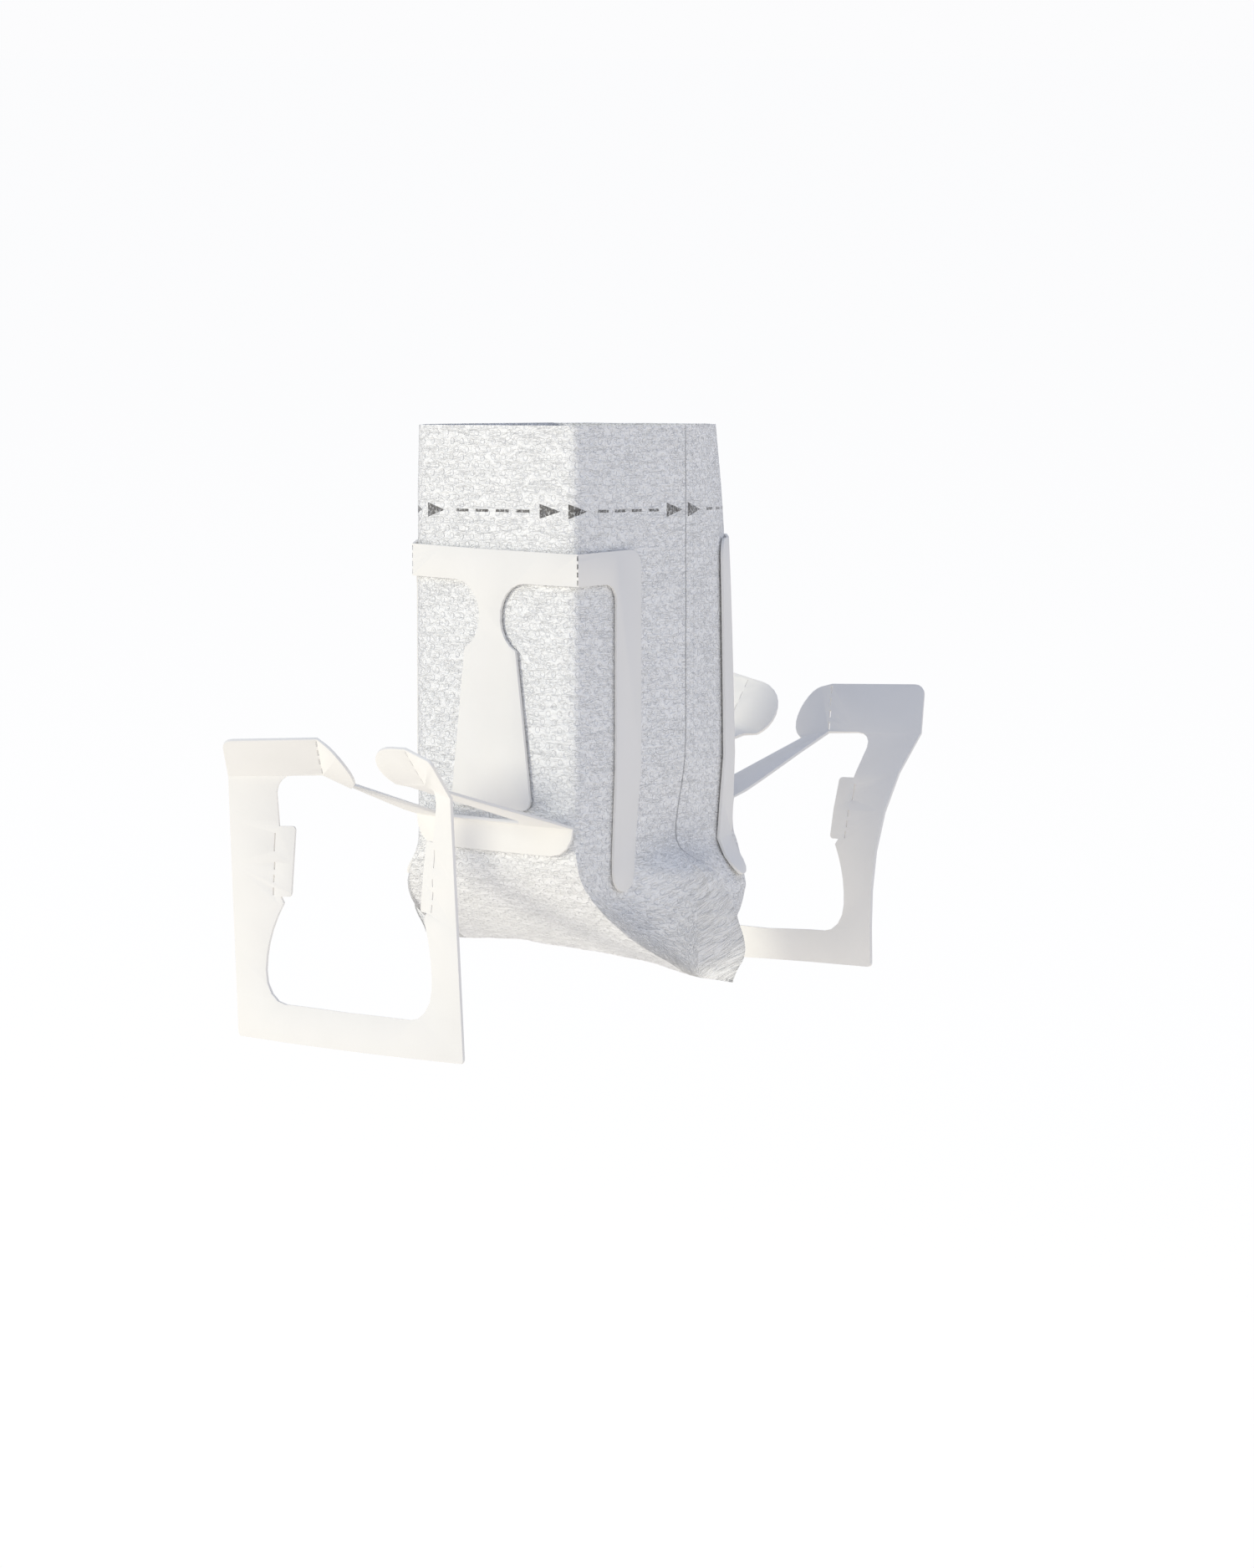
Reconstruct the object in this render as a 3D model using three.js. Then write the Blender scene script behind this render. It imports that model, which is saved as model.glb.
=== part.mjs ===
// A drip coffee bag, pulled open and hung ready to brew.
// A tube of thin nonwoven, closed along the bottom, is held open by two die-cut cards.
// Each card was cut into a frame, glued round the top of a panel, and an ear, glued to the panel
// by its tongue and swung out on two legs, so that its ring hangs outside whatever the bag is hung in.
// Millimetres, +Z up. The origin is on the bag's axis, at the height of the edge that carries the ears.
import * as THREE from "three";

// Filter bag: a flat tube pressed open to six sides
const flatHalfWidth = 45;
const panelWidth = 34.3;
const panelShift = 10.65;
const panelDepth = 24.9;
const seamReach = 21.2;
const seamSkew = 1.7;
const mouthHeight = 48.8;
const mouthRiseX = 0.031;
const mouthRiseY = -0.028;
const mouthRiseStart = 33;
const rearLeanStart = -3;
const rearLeanSlope = 0.055;
const rearLeanCurl = 1.6;
const panelBulge = 0.9;
const wingBulge = 2.3;
const seamDrawIn = 2.6;
const drawInStart = 2;
const bagWall = 0.3;

// Lower bag: the panels slope in to one seam across the bottom, and each side is pressed flat in a dog-ear
const slopeStart = -11;
const bottomDepth = 27;
const bottomTilt = 0.05;
const bottomHalfRidge = 22.4;
const bottomHalfLength = 33.3;
const bottomTurn = THREE.MathUtils.degToRad(4.6);
const bottomSealHalf = 0.8;
const cornerDrop = 1.2;
const nearSlopeCurl = 1.6;
const farSlopeCurl = 2.2;
const farSlopeSpread = 1.2;
const dogEarShelf = 0.19;
const dogEarShelfReach = 28;
const dogEarFold = 3;
const dogEarHalfGap = 1.4;
const dogEarRootHalf = 24.6;
const dogEarRound = 2.2;
const dogEarRoundStart = 0.7;
const dogEarTurn = THREE.MathUtils.degToRad(112);
const wingFlare = 3;
const armClear = 0.8;
const floorThickness = 0.8;

// Card stock and how it sits on the bag
const cardThickness = 0.4;
const glueGap = 0.3;

// Frame card, drawn flat: u across, v up, with v = 0 at the height of the origin
const creaseHalf = 17.5;
const frameHalf = 32.8;
const frameTop = 32.3;
const barHeight = 4.6;
const armWidth = 6.2;
const armLength = 48.7;
const frameCorner = 2.5;
const armEndRound = 2.9;
const notchRadius = 5;
const neckHalf = 2.2;
const shoulderHalf = 5.4;
const stemBaseHalf = 8.3;
const stemBase = -4.5;
const stemCorner = 1.5;

// Ear card, drawn flat in the same frame
const cutGap = 0.45;
const earHalf = 24.5;
const earTopCorner = 1.5;
const earFootCorner = 0.7;
const lobeFoldHalf = 10;
const lobeHeight = 8.1;
const windowHeight = 32.2;
const earBarHeight = 5.3;
const windowTopHalf = 17;
const windowWaistHalf = 15;
const windowWaistDrop = 18;
const windowFootHalf = 18;
const windowFootDrop = 27.5;
const windowTopCorner = 2.4;
const windowFootCorner = 4.6;
const tabInnerHalf = 13.7;
const tabTopDrop = 7.2;
const tabLength = 9.9;
const tabCorner = 0.6;
const tongueHalf = 16.6;
const tongueEnd = -10.6;
const tongueCorner = 4.2;
const tongueFold = -6.4;
const legWaistHalf = 12.6;

// How each ear hangs once it is swung out, in its own side's axes: a to the right, o outwards.
// The bars at the top lean outwards, and each half turns its own way, as the cup's rim pushes it.
const lobeTurn = THREE.MathUtils.degToRad(5.1);
const lobeLeanShare = 0.3;
const hangHalf = 24.2;
const hangBow = 1.4;
const frontEarShift = 12.9;
const frontRise = 1;
const frontSlope = 0.018;
const frontDroopLeft = 2.6;
const frontDroopRight = 0.3;
const frontBarFall = 0.045;
const frontBarTurnLeft = THREE.MathUtils.degToRad(27);
const frontBarTurnRight = THREE.MathUtils.degToRad(27);
const frontLean = THREE.MathUtils.degToRad(47);
const frontLeanLeft = THREE.MathUtils.degToRad(41);
const frontLeanRight = THREE.MathUtils.degToRad(20);
const frontHangDepth = 38.1;
const frontHangOut = 2.6;
const frontHangCurl = 1;
const rearEarShift = 10.3;
const rearRise = 1.4;
const rearDroop = 1.9;
const rearBarRise = 0.02;
const rearBarTurn = THREE.MathUtils.degToRad(27);
const rearLean = THREE.MathUtils.degToRad(33);
const rearLeanLeft = THREE.MathUtils.degToRad(39);
const rearHangDepth = 34.3;
const rearHangOut = -3.6;
const rearHangSlope = 0.03;
const rearHangCurl = 3;

// Fineness of round edges and of the bent sheets
const cornerSteps = 4;
const roundSteps = 10;
const sheetStep = 7;
const snap = 0.04;

const { clamp, lerp } = THREE.MathUtils;

// Values worked out from the driving ones
const ledge = frameTop - barHeight;
const notchHeight = ledge - notchRadius;
const notchAcross = neckHalf + notchRadius;
const lobeTop = ledge - cutGap;
const hingeLevel = lobeTop - lobeHeight;
const windowFoot = hingeLevel - windowHeight;
const earFoot = windowFoot - earBarHeight;
const legLength = hingeLevel - tongueFold;
const cardOffset = glueGap + cardThickness / 2;
const bottomLine = new THREE.Vector2(Math.cos(bottomTurn), Math.sin(bottomTurn));
const lowerBag = bottomDepth + slopeStart;
const armEnd = frameTop - armLength;
const armHold = (slopeStart - armEnd + armClear) / lowerBag;
const armOuterStation = flatHalfWidth - frameHalf;
const armInnerStation = armOuterStation + armWidth;
const wingStations = [0, dogEarFold, armOuterStation, armInnerStation, flatHalfWidth - creaseHalf];
const cornersOfHalf = 2 * wingStations.length - 1;
const panelSides = [wingStations.length - 1, cornersOfHalf + wingStations.length - 1];

const lowered = (height) => clamp((slopeStart - height) / lowerBag, 0, 1);

// The side seam runs in towards the cards' arms, then out along the shelf of the dog-ear to its round tip
function seamPoint(side, height) {
  const down = lowered(height);
  const drawIn = seamDrawIn * THREE.MathUtils.smoothstep(-height, -drawInStart, -slopeStart);
  const shelf = THREE.MathUtils.smoothstep(down, 0, dogEarShelf);
  const out = clamp((down - dogEarShelf) / (1 - dogEarShelf), 0, 1);
  const tip = lerp(dogEarShelfReach, bottomHalfLength, Math.sin(dogEarTurn * out));
  const round = dogEarRound * THREE.MathUtils.smoothstep(out, dogEarRoundStart, 1);
  const line = new THREE.Vector2(seamReach, seamSkew).normalize().lerp(bottomLine, down).normalize();
  return line.multiplyScalar(side * (lerp(seamReach - drawIn, tip, shelf) - round));
}

const ridgePoint = (side, along, depthSide) =>
  bottomLine.clone().multiplyScalar(side * along).add(new THREE.Vector2(0, depthSide * bottomSealHalf));

// Creases of the two panels: left and right of the front one, then right and left of the rear one
function creasePoints(height) {
  const down = lowered(height);
  const lift = Math.max(0, height - rearLeanStart);
  const lean = lift * rearLeanSlope + rearLeanCurl * Math.pow(lift / (mouthHeight - rearLeanStart), 4);
  const left = panelShift - panelWidth / 2;
  const right = panelShift + panelWidth / 2;
  const upper = [[left, -panelDepth], [right, -panelDepth], [-left, panelDepth - lean], [-right, panelDepth - lean]];
  return upper.map(([x, y], index) => {
    const isNear = index % 2 === 1;
    const ridge = ridgePoint(index === 1 || index === 2 ? 1 : -1, bottomHalfRidge, index < 2 ? -1 : 1);
    const across = Math.pow(down, isNear ? 1 : farSlopeSpread);
    const inwards = Math.pow(down, isNear ? nearSlopeCurl : farSlopeCurl);
    return new THREE.Vector2(lerp(x, ridge.x, across), lerp(y, ridge.y, inwards));
  });
}

// Three points across a wing: both edges of the card's arm, and the fold that the dog-ear turns out from
function wingPoints(height, seamSide, depthSide) {
  const down = lowered(height);
  const creaseAt = depthSide < 0 ? (seamSide < 0 ? 0 : 1) : (seamSide > 0 ? 2 : 3);
  const isFull = seamSide === depthSide;
  const level = Math.max(height, slopeStart);
  const seam = seamPoint(seamSide, level);
  const crease = creasePoints(level)[creaseAt];
  const along = crease.clone().sub(seam);
  const outward = new THREE.Vector2(along.y, -along.x).normalize().multiplyScalar(seamSide * depthSide);
  const flare = isFull ? wingFlare * THREE.MathUtils.smoothstep(down, 0, armHold) : 0;
  const station = (distance) => {
    const share = distance / along.length();
    const bulge = isFull ? wingBulge * 4 * share * (1 - share) : 0;
    return seam.clone().addScaledVector(along, share).addScaledVector(outward, bulge + flare);
  };
  const below = Math.pow(clamp((down - armHold) / (1 - armHold), 0, 1), isFull ? farSlopeCurl : 1);
  const step = (dogEarRootHalf - bottomHalfRidge) / 3;
  const armInner = station(armInnerStation).lerp(ridgePoint(seamSide, bottomHalfRidge + step, depthSide), below);
  const armOuter = station(armOuterStation).lerp(ridgePoint(seamSide, bottomHalfRidge + 2 * step, depthSide), below);
  const root = ridgePoint(seamSide, dogEarRootHalf, depthSide);
  const shelfPoint = bottomLine.clone().multiplyScalar(seamSide * (dogEarShelfReach - dogEarFold))
    .add(new THREE.Vector2(0, depthSide * dogEarHalfGap));
  const fold = station(dogEarFold).lerp(shelfPoint, THREE.MathUtils.smoothstep(down, 0, dogEarShelf))
    .lerp(root, clamp((down - dogEarShelf) / (1 - dogEarShelf), 0, 1));
  return { armInner, armOuter, fold };
}

// The bag's outline at a height, anticlockwise from above, starting at the left seam
function bagCorners(height) {
  const [frontLeft, frontRight, rearRight, rearLeft] = creasePoints(height);
  const outOf = ({ armInner, armOuter, fold }) => [fold, armOuter, armInner];
  const wing = (seamSide, depthSide) => outOf(wingPoints(height, seamSide, depthSide));
  return [
    seamPoint(-1, height), ...wing(-1, -1), frontLeft,
    frontRight, ...wing(1, -1).reverse(),
    seamPoint(1, height), ...wing(1, 1), rearRight,
    rearLeft, ...wing(-1, 1).reverse(),
  ];
}

// Moves every side of a closed outline outwards by the same distance, keeping its corners sharp
function offsetOutline(points, distance) {
  return points.map((point, index) => {
    const before = points[(index + points.length - 1) % points.length];
    const after = points[(index + 1) % points.length];
    const sideIn = point.clone().sub(before).normalize();
    const sideOut = after.clone().sub(point).normalize();
    const normalIn = new THREE.Vector2(sideIn.y, -sideIn.x);
    const normalOut = new THREE.Vector2(sideOut.y, -sideOut.x);
    const mitre = normalIn.clone().add(normalOut).normalize();
    return point.clone().addScaledVector(mitre, distance / mitre.dot(normalIn));
  });
}

// A point part of the way along one side of the bag, with the side's slight outward bow
function alongSide(from, to, share, bow) {
  const side = to.clone().sub(from);
  const outward = new THREE.Vector2(side.y, -side.x).normalize();
  return from.clone().lerp(to, share).addScaledVector(outward, bow * 4 * share * (1 - share));
}

function bowAt(side, height) {
  const fade = THREE.MathUtils.smoothstep(height, -bottomDepth, slopeStart);
  return panelSides.includes(side) ? panelBulge * fade : 0;
}

// Bag: two skins, outside and inside, joined round the mouth
function makeBag() {
  const stepsOfHalf = [1, 3, 2, 3, 8, 3, 2, 3, 1];
  const stepsOfSide = [...stepsOfHalf, ...stepsOfHalf];
  const upperRows = 10;
  const lowerRows = 12;
  const heights = [];
  for (let row = 0; row <= upperRows; row += 1) heights.push(lerp(mouthHeight, slopeStart, row / upperRows));
  for (let row = 1; row <= lowerRows; row += 1) heights.push(lerp(slopeStart, -bottomDepth, row / lowerRows));

  const ring = (height, inset) => {
    const corners = offsetOutline(bagCorners(height), -inset);
    return corners.flatMap((corner, side) => {
      const next = corners[(side + 1) % corners.length];
      const steps = stepsOfSide[side];
      return Array.from({ length: steps }, (_, step) => alongSide(corner, next, step / steps, bowAt(side, height)));
    });
  };
  const sagOf = ({ x, y }, height) => {
    const corner = cornerDrop * THREE.MathUtils.smoothstep(Math.abs(x), bottomHalfRidge / 2, dogEarRootHalf);
    const rise = clamp((height - mouthRiseStart) / (mouthHeight - mouthRiseStart), 0, 1);
    return (bottomTilt * x + corner) * lowered(height) - (mouthRiseX * x + mouthRiseY * y) * rise;
  };
  const skin = (inset, floor) => heights.map((height) => {
    const level = Math.max(height, -bottomDepth + floor);
    const slopeInset = level < slopeStart ? inset * Math.SQRT2 : inset;
    return ring(level, slopeInset).map((point) => new THREE.Vector3(point.x, point.y, level - sagOf(point, level)));
  });

  const outer = skin(0, 0);
  const inner = skin(bagWall, floorThickness);
  const count = outer[0].length;
  const positions = [...outer.flat(), ...inner.flat()];
  const innerStart = outer.length * count;
  const triangles = [];
  const quad = (a, b, c, d) => triangles.push([a, b, c], [a, c, d]);
  for (let row = 0; row + 1 < heights.length; row += 1) {
    for (let step = 0; step < count; step += 1) {
      const next = (step + 1) % count;
      const upper = row * count;
      const lower = upper + count;
      quad(upper + step, lower + step, lower + next, upper + next);
      quad(innerStart + upper + step, innerStart + upper + next, innerStart + lower + next, innerStart + lower + step);
    }
  }
  for (let step = 0; step < count; step += 1) {
    const next = (step + 1) % count;
    quad(step, next, innerStart + next, innerStart + step);
  }
  const lastRow = (heights.length - 1) * count;
  for (let step = 0; step < count / 2; step += 1) {
    const near = lastRow + step;
    const far = lastRow + (count - step) % count;
    const farNext = lastRow + count - step - 1;
    quad(near, far, farNext, near + 1);
    quad(innerStart + near, innerStart + near + 1, innerStart + farNext, innerStart + far);
  }
  const isFace = ([a, b, c]) => a !== b && b !== c && c !== a;
  return meshGeometry(positions, triangles.filter(isFace));
}

function meshGeometry(positions, triangles) {
  const geometry = new THREE.BufferGeometry();
  geometry.setAttribute("position", new THREE.Float32BufferAttribute(positions.flatMap((p) => [p.x, p.y, p.z]), 3));
  geometry.setIndex(triangles.flat());
  geometry.computeVertexNormals();
  return geometry;
}

// Adds the left half of an outline by mirroring its right half
function mirrored(rightHalf) {
  const leftHalf = rightHalf.filter((point) => Math.abs(point.x) > snap)
    .map((point) => new THREE.Vector2(-point.x, point.y)).reverse();
  return [...rightHalf, ...leftHalf];
}

function arcPoints(x, y, radiusX, radiusY, from, to, steps, clockwise) {
  const start = THREE.MathUtils.degToRad(from);
  const end = THREE.MathUtils.degToRad(to);
  return new THREE.EllipseCurve(x, y, radiusX, radiusY, start, end, clockwise).getPoints(steps);
}

// Right half of the frame card: stem, round notch, bar and arm
function frameOutline() {
  const shoulderAngle = THREE.MathUtils.radToDeg(Math.acos((notchAcross - shoulderHalf) / notchRadius));
  const armInner = frameHalf - armWidth;
  const corner = (x, y, radius, from, to, clockwise) =>
    arcPoints(x, y, radius, radius, from, to, cornerSteps, clockwise);
  return mirrored([
    new THREE.Vector2(0, stemBase),
    ...corner(stemBaseHalf - stemCorner, stemBase + stemCorner, stemCorner, 270, 360, false),
    ...arcPoints(notchAcross, notchHeight, notchRadius, notchRadius, 180 + shoulderAngle, 90, roundSteps, true),
    ...corner(armInner - frameCorner, ledge - frameCorner, frameCorner, 90, 0, true),
    ...corner(armInner + armEndRound, armEnd + armEndRound, armEndRound, 180, 270, false),
    ...corner(frameHalf - armEndRound, armEnd + armEndRound, armEndRound, 270, 360, false),
    ...corner(frameHalf - frameCorner, frameTop - frameCorner, frameCorner, 0, 90, false),
    new THREE.Vector2(0, frameTop),
  ]);
}

// Where the lobe's round end meets the fold line that joins it to its leg
function lobeMeetsFold() {
  const radiusX = notchRadius - cutGap;
  const radiusY = lobeTop - notchHeight;
  const drop = (notchHeight - hingeLevel) / radiusY;
  return { radiusX, radiusY, angle: THREE.MathUtils.radToDeg(Math.asin(drop)), across: notchAcross -
    radiusX * Math.sqrt(1 - drop * drop) };
}

// Right half of the ear's ring: the lobe, the outer edge, and back round the window with its pull tab
function ringOutline() {
  const lobe = lobeMeetsFold();
  const corner = (x, y, radius, from, to, clockwise) =>
    arcPoints(x, y, radius, radius, from, to, cornerSteps, clockwise);
  const drop = (distance) => hingeLevel - distance;
  const sideBelowTab = new THREE.QuadraticBezierCurve(
    new THREE.Vector2(windowWaistHalf, drop(windowWaistDrop)),
    new THREE.Vector2(windowFootHalf, drop((windowWaistDrop + windowFootDrop) / 2)),
    new THREE.Vector2(windowFootHalf, drop(windowFootDrop)),
  ).getPoints(roundSteps / 2);
  const outside = [
    ...arcPoints(notchAcross, notchHeight, lobe.radiusX, lobe.radiusY, 180 + lobe.angle, 90, roundSteps, true),
    ...corner(earHalf - earTopCorner, lobeTop - earTopCorner, earTopCorner, 90, 0, true),
    ...corner(earHalf - earFootCorner, earFoot + earFootCorner, earFootCorner, 0, -90, true),
  ];
  const window = [
    ...corner(windowFootHalf - windowFootCorner, windowFoot + windowFootCorner, windowFootCorner, 270, 360, false),
    ...sideBelowTab.reverse(),
    new THREE.Vector2(windowWaistHalf + tabCorner, drop(tabTopDrop + tabLength)),
    ...corner(tabInnerHalf + tabCorner, drop(tabTopDrop + tabLength - tabCorner), tabCorner, 270, 180, true),
    ...corner(tabInnerHalf + tabCorner, drop(tabTopDrop + tabCorner), tabCorner, 180, 90, true),
    new THREE.Vector2(windowTopHalf - tabCorner, drop(tabTopDrop)),
    ...corner(windowTopHalf - windowTopCorner, drop(windowTopCorner), windowTopCorner, 0, 90, false),
    new THREE.Vector2(lobeFoldHalf, hingeLevel),
  ];
  const left = (points) => points.map((point) => new THREE.Vector2(-point.x, point.y)).reverse();
  return [...outside, ...left(outside), ...left(window), ...window];
}

// Right half of the plate that swings out: its leg, the open slot where the stem was, and the tongue
function plateOutline() {
  const lobe = lobeMeetsFold();
  const slotFoot = stemBase - cutGap;
  const tongueSide = tongueEnd + tongueCorner;
  const outerEdge = new THREE.CubicBezierCurve(
    new THREE.Vector2(tongueHalf, tongueSide),
    new THREE.Vector2(tongueHalf, tongueSide + tongueCorner),
    new THREE.Vector2(legWaistHalf, hingeLevel / 3),
    new THREE.Vector2(lobeFoldHalf, hingeLevel),
  ).getPoints(roundSteps / 2);
  return mirrored([
    new THREE.Vector2(0, tongueEnd),
    ...arcPoints(tongueHalf - tongueCorner, tongueSide, tongueCorner, tongueCorner, 270, 360, cornerSteps, false),
    ...outerEdge.slice(1),
    new THREE.Vector2(lobe.across, hingeLevel),
    new THREE.Vector2(shoulderHalf + cutGap, notchHeight - notchRadius + cutGap / 2),
    new THREE.Vector2(stemBaseHalf + cutGap, stemBase + stemCorner),
    new THREE.Vector2(stemBaseHalf - stemCorner + cutGap, slotFoot),
    new THREE.Vector2(0, slotFoot),
  ]);
}

// Divides a flat outline along a straight line into the separate cells on its two sides
function cutOutline(outline, axis, value) {
  const along = axis === "x" ? "y" : "x";
  const away = (point) => {
    const distance = point[axis] - value;
    return Math.abs(distance) < snap ? 0 : distance;
  };
  const loop = outline.flatMap((point, index) => {
    const next = outline[(index + 1) % outline.length];
    const [here, there] = [away(point), away(next)];
    return here * there < 0 ? [point, point.clone().lerp(next, here / (here - there))] : [point];
  });
  const onLine = loop.map((point, index) => index).filter((index) => away(loop[index]) === 0)
    .sort((a, b) => loop[a][along] - loop[b][along]);
  for (let step = 0; step + 1 < onLine.length; step += 1) {
    const [from, to] = [onLine[step], onLine[step + 1]].sort((a, b) => a - b);
    const apart = to - from;
    const middle = loop[from].clone().add(loop[to]).multiplyScalar(0.5);
    if (apart > 1 && apart < loop.length - 1 && isInside(middle, loop)) {
      const one = loop.slice(from, to + 1);
      const other = [...loop.slice(to), ...loop.slice(0, from + 1)];
      return [...cutOutline(one, axis, value), ...cutOutline(other, axis, value)];
    }
  }
  return [loop];
}

function isInside(point, loop) {
  let inside = false;
  loop.forEach((from, index) => {
    const to = loop[(index + 1) % loop.length];
    if (from.y > point.y === to.y > point.y) return;
    const crossing = from.x + (point.y - from.y) / (to.y - from.y) * (to.x - from.x);
    if (point.x < crossing) inside = !inside;
  });
  return inside;
}

// Divides one flat outline along its folds, so that it can bend there, and triangulates the cells
function flatSheet(outline, folds) {
  const clean = outline.filter((point, index) => {
    const before = outline[(index + outline.length - 1) % outline.length];
    return point.distanceTo(before) > snap;
  });
  if (THREE.ShapeUtils.area(clean) < 0) clean.reverse();
  let cells = [clean];
  for (const fold of folds) cells = cells.flatMap((cell) => cutOutline(cell, fold.axis, fold.value));
  const points = [];
  const triangles = [];
  for (const cell of cells) {
    const first = points.length;
    points.push(...cell);
    for (const triangle of THREE.ShapeUtils.triangulateShape(cell, [])) {
      triangles.push(triangle.map((index) => index + first));
    }
  }
  return { points, triangles };
}

// Gives a bent sheet its thickness: both faces, and a wall along every free edge
function thicken(positions, triangles, thickness) {
  const bent = meshGeometry(positions, triangles).getAttribute("normal");
  const half = thickness / 2;
  const shifted = (sign) => positions.map((position, index) =>
    position.clone().addScaledVector(new THREE.Vector3().fromBufferAttribute(bent, index), sign * half));
  const count = positions.length;
  const solid = [];
  const edges = new Map();
  for (const [a, b, c] of triangles) {
    solid.push([a, b, c], [a + count, c + count, b + count]);
    for (const [from, to] of [[a, b], [b, c], [c, a]]) {
      if (edges.has(`${to}_${from}`)) edges.delete(`${to}_${from}`);
      else edges.set(`${from}_${to}`, [from, to]);
    }
  }
  for (const [from, to] of edges.values()) {
    solid.push([from, from + count, to + count], [from, to + count, to]);
  }
  return meshGeometry([...shifted(1), ...shifted(-1)], solid);
}

// Joins bent sheets along the edges they share
function weld(sheets) {
  const positions = [];
  const triangles = [];
  const known = new Map();
  for (const sheet of sheets) {
    const places = sheet.points.map((point) => {
      const key = `${point.x.toFixed(4)}_${point.y.toFixed(4)}`;
      if (!known.has(key)) {
        known.set(key, positions.length);
        positions.push(sheet.bend(point));
      }
      return known.get(key);
    });
    for (const triangle of sheet.triangles) {
      const [a, b, c] = triangle.map((index) => places[index]);
      if (a !== b && b !== c && c !== a) triangles.push([a, b, c]);
    }
  }
  return { positions, triangles };
}

// One side of the bag, seen from outside: from its left seam to its right one
function sideOfBag(isRear) {
  const first = isRear ? cornersOfHalf : 0;
  const outward = isRear ? 1 : -1;
  return {
    across: new THREE.Vector2(-outward, 0),
    outward: new THREE.Vector2(0, outward),
    panelSide: panelSides[isRear ? 1 : 0],
    corners(height, offset) {
      const ring = offsetOutline(bagCorners(height), offset);
      return Array.from({ length: cornersOfHalf + 1 }, (_, step) => ring[(first + step) % ring.length]);
    },
  };
}

// A point of the card glued on the bag, found by its distance from the side seam or the panel's middle
function gluedPoint(side, u, v) {
  const corners = side.corners(v, cardOffset);
  const creaseStep = wingStations.length - 1;
  if (Math.abs(u) <= creaseHalf) {
    const [leftCrease, rightCrease] = [corners[creaseStep], corners[creaseStep + 1]];
    const scale = rightCrease.distanceTo(leftCrease) / (2 * creaseHalf);
    const share = clamp(0.5 + u / (2 * creaseHalf), 0, 1);
    const plan = alongSide(leftCrease, rightCrease, share, bowAt(side.panelSide, v) * Math.min(1, scale));
    return new THREE.Vector3(plan.x, plan.y, v);
  }
  const wing = u < 0 ? corners : [...corners].reverse();
  const fromSeam = clamp(flatHalfWidth - Math.abs(u), 0, wingStations[creaseStep]);
  const next = Math.max(1, wingStations.findIndex((station) => station >= fromSeam));
  const share = (fromSeam - wingStations[next - 1]) / (wingStations[next] - wingStations[next - 1]);
  const plan = wing[next - 1].clone().lerp(wing[next], share);
  return new THREE.Vector3(plan.x, plan.y, v);
}

// Shape of the swung-out ear on one side of the bag
function earShape(side, hang) {
  const panelOut = panelDepth + cardOffset;
  const rise = hang.rise - tongueFold;
  const reach = Math.sqrt(legLength * legLength - rise * rise);
  const middle = new THREE.Vector2(hang.shift, panelOut + reach);
  const place = (a, o, z) => {
    const plan = side.across.clone().multiplyScalar(a).addScaledVector(side.outward, o);
    return new THREE.Vector3(plan.x, plan.y, z);
  };
  const lobeLine = (u) => {
    const droop = u < 0 ? hang.droopLeft : hang.droopRight;
    const inwards = 1 - Math.min(Math.abs(u), lobeFoldHalf) / lobeFoldHalf;
    return {
      a: middle.x + u * Math.cos(lobeTurn),
      o: middle.y - u * Math.sin(lobeTurn),
      z: hang.rise - hang.slope * u - droop * inwards,
    };
  };
  const topLine = (u) => {
    const held = clamp(u, -lobeFoldHalf, lobeFoldHalf);
    const beyond = Math.abs(u) - Math.abs(held);
    const line = lobeLine(held);
    const turn = u < 0 ? hang.turnLeft : hang.turnRight;
    return {
      a: line.a + Math.sign(u) * beyond * Math.cos(turn),
      o: line.o + beyond * Math.sin(turn),
      z: line.z - beyond * hang.barFall,
    };
  };
  const ringPoint = (u, v) => {
    const top = topLine(u);
    const above = v - hingeLevel;
    if (above >= 0) {
      const fromMiddle = lerp(lobeLeanShare, 1, clamp(-u / lobeFoldHalf, 0, 1));
      const towards = u < 0 ? hang.leanLeft * fromMiddle : hang.leanRight;
      const out = above * Math.sin(hang.lean);
      const up = above * Math.cos(hang.lean);
      return place(top.a + out * Math.sin(towards), top.o + out * Math.cos(towards), top.z + up);
    }
    const down = clamp(above / (earFoot - hingeLevel), 0, 1);
    const outwards = 1 - Math.pow(1 - down, hang.curl);
    const foot = {
      a: panelShift + u * hangHalf / earHalf,
      o: middle.y + hang.out + hangBow * (1 - (u / earHalf) * (u / earHalf)),
      z: hang.rise - hang.depth - hang.footSlope * u,
    };
    return place(lerp(top.a, foot.a, down), lerp(top.o, foot.o, outwards), lerp(top.z, foot.z, down));
  };
  const platePoint = (u, v) => {
    if (v <= tongueFold) return gluedPoint(side, u, v);
    const out = clamp((v - tongueFold) / legLength, 0, 1);
    const tip = lobeLine(u);
    return gluedPoint(side, u, tongueFold).lerp(place(tip.a, tip.o, tip.z), out);
  };
  return { ringPoint, platePoint };
}

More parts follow.
